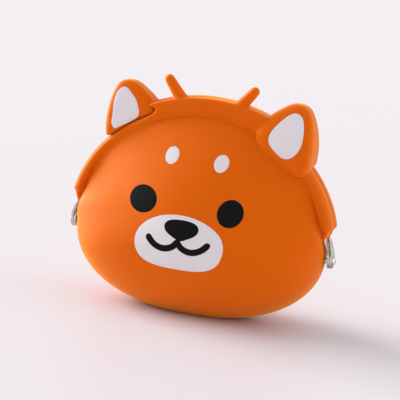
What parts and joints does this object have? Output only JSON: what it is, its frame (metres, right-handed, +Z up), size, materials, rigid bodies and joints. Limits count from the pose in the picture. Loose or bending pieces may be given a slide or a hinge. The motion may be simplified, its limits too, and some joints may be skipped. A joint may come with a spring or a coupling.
{
  "type": "silicone coin purse",
  "caption": "Round silicone coin purse with an animal face, two ears that snap over the opposite rim, and a riveted steel frame that opens its mouth.",
  "frame": {"origin": "middle of the flat foot under the pouch, on the surface it stands on", "axes": "+X along the mouth to the face's left ear side as the purse sees it, which is the right of the picture; +Y through the purse from the face to its back; +Z up from the foot to the ears"},
  "size_m": [0.1074, 0.0496, 0.0889],
  "materials": {
    "orange_silicone": "matte moulded silicone",
    "white_silicone": "matte moulded silicone",
    "black_silicone": "matte moulded silicone",
    "nickel_plated_steel": "bright nickel plating"
  },
  "bodies": {
    "pouch": {"pouch_bowl": "orange_silicone", "left_hinge_rivet": "nickel_plated_steel", "right_hinge_rivet": "nickel_plated_steel"},
    "front_jaw": {"front_panel": "orange_silicone", "front_rim": "orange_silicone", "front_frame": "nickel_plated_steel", "right_ear": "orange_silicone", "right_ear_lining": "white_silicone", "left_tuft": "orange_silicone", "right_tuft": "orange_silicone", "left_eye": "black_silicone", "right_eye": "black_silicone", "left_brow": "white_silicone", "right_brow": "white_silicone", "muzzle_patch": "white_silicone", "nose": "black_silicone", "mouth": "black_silicone"},
    "back_jaw": {"back_panel": "orange_silicone", "back_rim": "orange_silicone", "back_frame": "nickel_plated_steel", "left_ear": "orange_silicone", "left_ear_lining": "white_silicone"}
  },
  "joints": [
    {"name": "front_jaw_swing", "type": "hinge", "parent": "pouch", "child": "front_jaw", "pos_m": [0, 0, 0.0275], "axis": [1, 0, 0], "range_deg": [0, 35], "stiffness_Nm_per_rad": 0.02, "springref_deg": -20.05, "deforming": ["front_panel", "muzzle_patch", "nose", "mouth", "left_eye", "right_eye"]},
    {"name": "back_jaw_swing", "type": "hinge", "parent": "pouch", "child": "back_jaw", "pos_m": [0, 0, 0.0275], "axis": [1, 0, 0], "range_deg": [-35, 0], "stiffness_Nm_per_rad": 0.02, "springref_deg": 20.05, "deforming": ["back_panel"]}
  ],
  "couplings": [
    {"joint": "back_jaw_swing", "follows": "front_jaw_swing", "ratio": -1}
  ]
}
